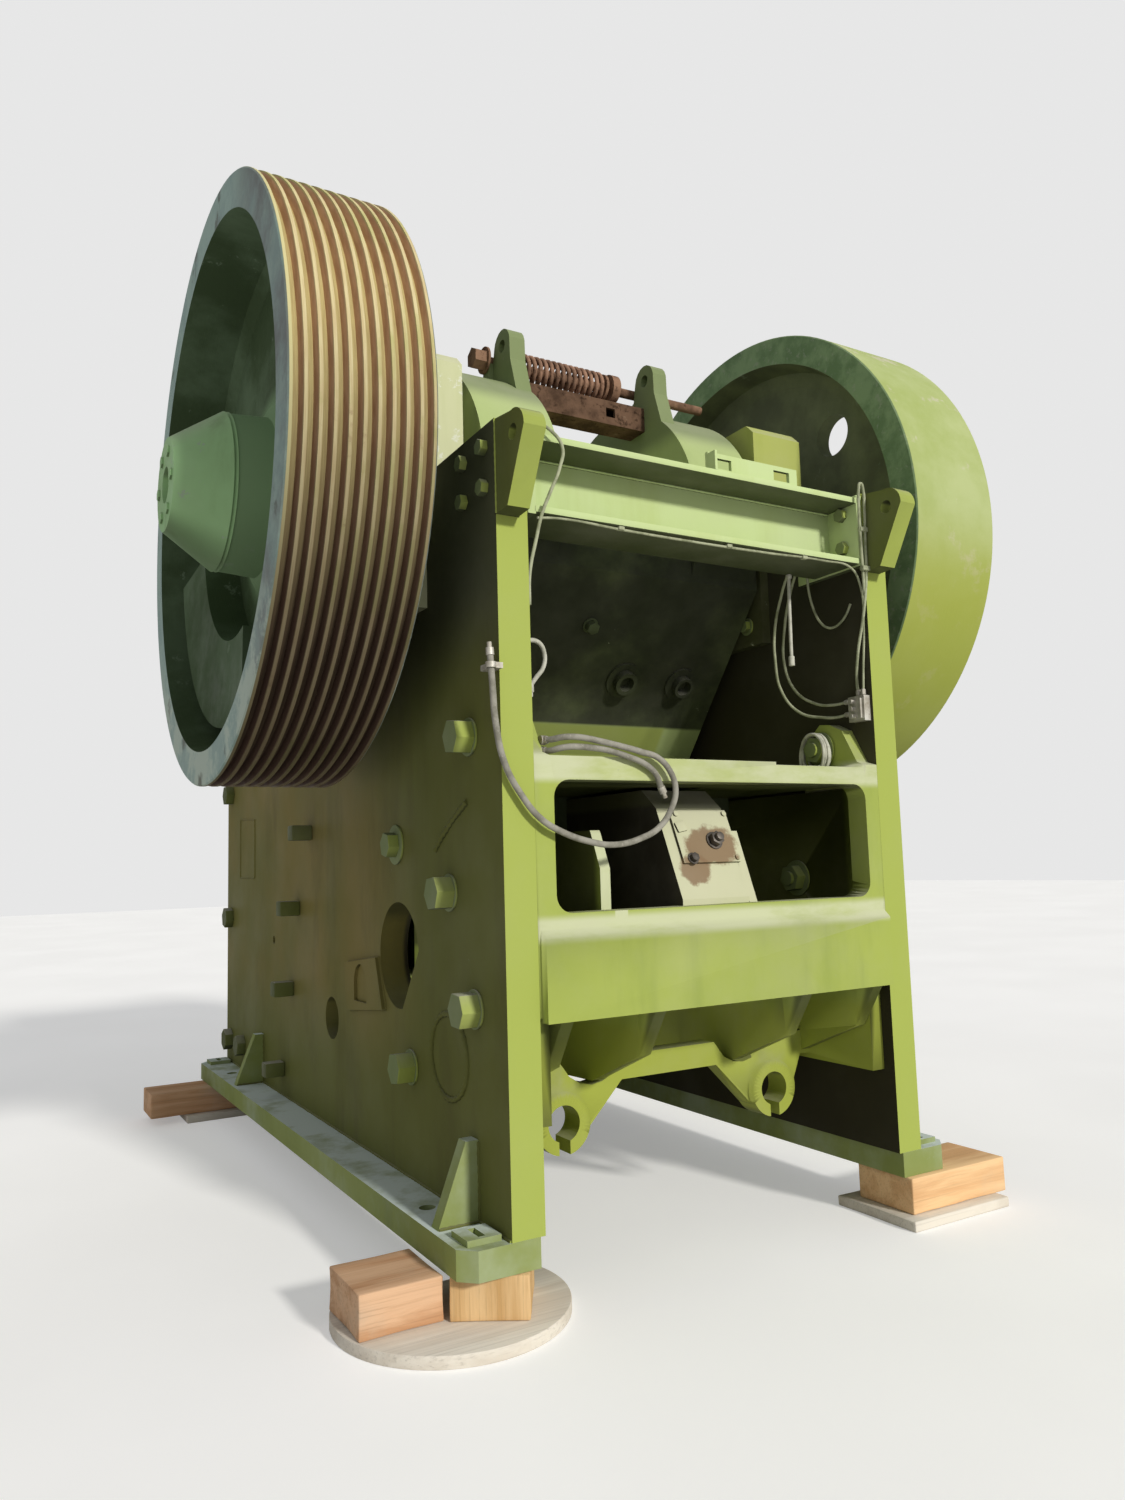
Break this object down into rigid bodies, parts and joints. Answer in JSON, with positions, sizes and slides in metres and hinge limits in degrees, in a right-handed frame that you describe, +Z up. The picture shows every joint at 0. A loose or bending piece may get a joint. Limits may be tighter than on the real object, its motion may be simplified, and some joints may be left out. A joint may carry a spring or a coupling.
{
  "type": "jaw crusher",
  "caption": "Single-toggle jaw crusher with a bolted plate frame, ribbed jaws, a grooved and a plain flywheel and spare tension rod, standing on timber packing.",
  "frame": {"origin": "under the centre of the machine's bounding box, at the underside of the timber packing", "axes": "+X across the machine to the right seen from the discharge end, +Y from the toggle end to the feed end, +Z up"},
  "size_m": [2.6, 3.024, 3.024],
  "materials": {
    "green_paint": "satin, dusty",
    "dark_green_paint": "satin, worn",
    "hub_green_paint": "satin, worn",
    "rusty_iron": "rusted",
    "jaw_steel": "cast, worn",
    "machined_steel": "machined",
    "rusty_steel": "rusted",
    "bare_wood": "sawn",
    "grey_hose": "dusty",
    "line_steel": "dusty",
    "fitting_steel": "dull"
  },
  "bodies": {
    "frame": {"side_plate_left": "green_paint", "side_plate_right": "green_paint", "foot_rail_left": "green_paint", "foot_rail_right": "green_paint", "rear_frame": "green_paint", "front_frame": "green_paint", "front_ribs": "green_paint", "front_shelves": "green_paint", "fixed_jaw_die": "jaw_steel", "cheek_plate_left": "jaw_steel", "cheek_plate_right": "jaw_steel", "rear_beam": "green_paint", "beam_bracket": "green_paint", "lifting_lug_left": "dark_green_paint", "lifting_lug_right": "dark_green_paint", "bearing_housing_left": "green_paint", "bearing_housing_right": "green_paint", "frame_bolts_left": "dark_green_paint", "frame_bolts_right": "dark_green_paint", "adjuster": "green_paint", "toggle_beam": "dark_green_paint", "grease_block": "fitting_steel", "packing_timbers": "bare_wood", "hose_loop": "grey_hose", "hose_short": "grey_hose", "hose_ends": "fitting_steel", "hose_mounts": "fitting_steel", "line_left": "line_steel", "line_beam": "line_steel", "line_right": "line_steel", "line_loop_a": "line_steel", "line_loop_b": "line_steel", "line_loop_c": "line_steel"},
    "rotor": {"eccentric_shaft": "machined_steel", "flywheel_grooved": "rusty_iron", "flywheel_plain": "green_paint", "hub_left": "hub_green_paint", "hub_right": "hub_green_paint"},
    "pitman_body": {"pitman": "green_paint", "swing_jaw_die": "jaw_steel", "stored_rod": "rusty_steel", "rod_spring": "rusty_steel", "neck_tube": "rusty_steel"}
  },
  "joints": [
    {"name": "rotor_spin", "type": "hinge", "parent": "frame", "child": "rotor", "pos_m": [0, -0.507, 2.162], "axis": [1, 0, 0], "continuous": true},
    {"name": "pitman_orbit", "type": "hinge", "parent": "rotor", "child": "pitman_body", "pos_m": [0, -0.491, 2.162], "axis": [1, 0, 0], "continuous": true}
  ],
  "couplings": [
    {"joint": "pitman_orbit", "follows": "rotor_spin", "ratio": -1}
  ]
}
